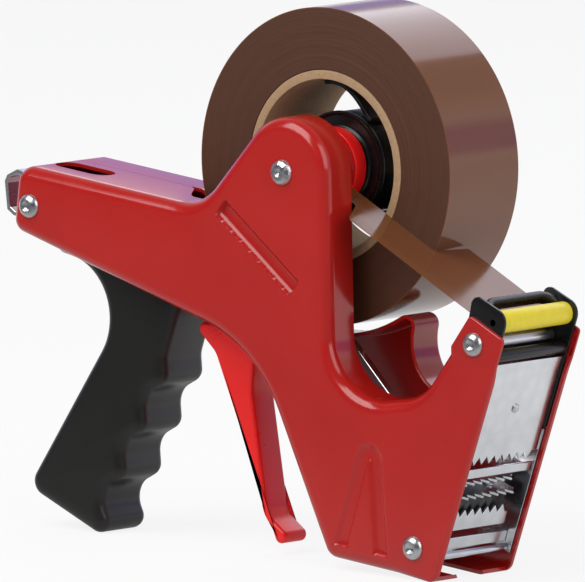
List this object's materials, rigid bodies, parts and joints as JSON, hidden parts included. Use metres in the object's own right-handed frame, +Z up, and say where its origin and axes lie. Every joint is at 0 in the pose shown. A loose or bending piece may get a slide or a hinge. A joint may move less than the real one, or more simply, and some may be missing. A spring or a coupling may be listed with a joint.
{
  "type": "packing tape dispenser",
  "caption": "Hand-held packing tape dispenser with red side shells, a pistol grip, a finger trigger, a hub with a brown tape roll, a guide roller and a toothed cutting head.",
  "frame": {"origin": "on the table under the middle of the object's box", "axes": "+X from the hanging strap to the guide roller, +Y along the hub axle from the near shell to the tape roll, +Z up"},
  "size_m": [0.2864, 0.0858, 0.2402],
  "materials": {
    "red_paint": "gloss red enamel on pressed steel",
    "rivet_steel": "bright zinc plate",
    "zinc_steel": "zinc-plated steel sheet",
    "blade_steel": "ground bright steel",
    "red_plastic": "moulded red plastic",
    "black_plastic": "moulded black plastic",
    "grip_rubber": "soft black plastic",
    "yellow_rubber": "smooth yellow rubber",
    "core_card": "raw grey-brown card",
    "brown_tape": "glossy wound brown film",
    "tape_film": "translucent brown film"
  },
  "bodies": {
    "frame": {"near_side_shell": "red_paint", "far_side_shell": "red_paint", "tail_rivet": "rivet_steel", "upper_rivet": "rivet_steel", "lower_rivet": "rivet_steel", "tail_spacer": "zinc_steel", "upper_spacer": "zinc_steel", "lower_spacer": "zinc_steel", "tail_strap": "zinc_steel", "hub_axle": "rivet_steel", "axle_sleeve": "zinc_steel", "brake_washer": "zinc_steel", "axle_nut": "zinc_steel", "tape_strip": "tape_film", "roller_bracket": "black_plastic", "roller_pin": "zinc_steel", "guide_bar": "black_plastic", "front_frame": "zinc_steel", "plate_rivet": "rivet_steel", "blade_cover": "zinc_steel", "lower_plate": "zinc_steel", "bottom_rod": "zinc_steel", "trigger_pin": "zinc_steel", "trigger_spring": "zinc_steel", "handle_grip": "grip_rubber", "handle_clamp_plate": "zinc_steel", "handle_screw_1": "zinc_steel", "handle_screw_2": "zinc_steel"},
    "hub": {"hub_flange": "black_plastic", "hub_drum": "black_plastic", "hub_fin_1": "black_plastic", "hub_fin_2": "black_plastic", "hub_fin_3": "black_plastic", "hub_end_cap": "black_plastic", "tape_core": "core_card", "wound_tape": "brown_tape"},
    "knob": {"tension_knob": "red_plastic"},
    "roller": {"application_roller": "yellow_rubber"},
    "trigger_lever": {"trigger": "red_plastic"},
    "blade_slide": {"blade_holder": "zinc_steel", "cutting_blade": "blade_steel", "blade_clamp": "zinc_steel", "blade_rest": "black_plastic", "blade_screw_1": "zinc_steel", "blade_screw_2": "zinc_steel", "push_link": "zinc_steel"}
  },
  "joints": [
    {"name": "hub_spin", "type": "hinge", "parent": "frame", "child": "hub", "pos_m": [0.01923, -0.0125, 0.17073], "axis": [0, 1, 0], "continuous": true},
    {"name": "knob_turn", "type": "hinge", "parent": "frame", "child": "knob", "pos_m": [0.01923, -0.0125, 0.17073], "axis": [0, 1, 0], "range_deg": [0, 180]},
    {"name": "roller_spin", "type": "hinge", "parent": "frame", "child": "roller", "pos_m": [0.13639, -0.0125, 0.11624], "axis": [0, 1, 0], "continuous": true},
    {"name": "trigger_pull", "type": "hinge", "parent": "frame", "child": "trigger_lever", "pos_m": [-0.00311, -0.012, 0.10044], "axis": [0, 1, 0], "range_deg": [0, 12], "stiffness_Nm_per_rad": 0.3, "springref_deg": -9.74},
    {"name": "blade_extend", "type": "slide", "parent": "frame", "child": "blade_slide", "axis": [0.9525, 0, -0.3044], "range_m": [0, 0.0048]}
  ],
  "couplings": [
    {"joint": "blade_extend", "follows": "trigger_pull", "m_per_rad": 0.0229}
  ]
}
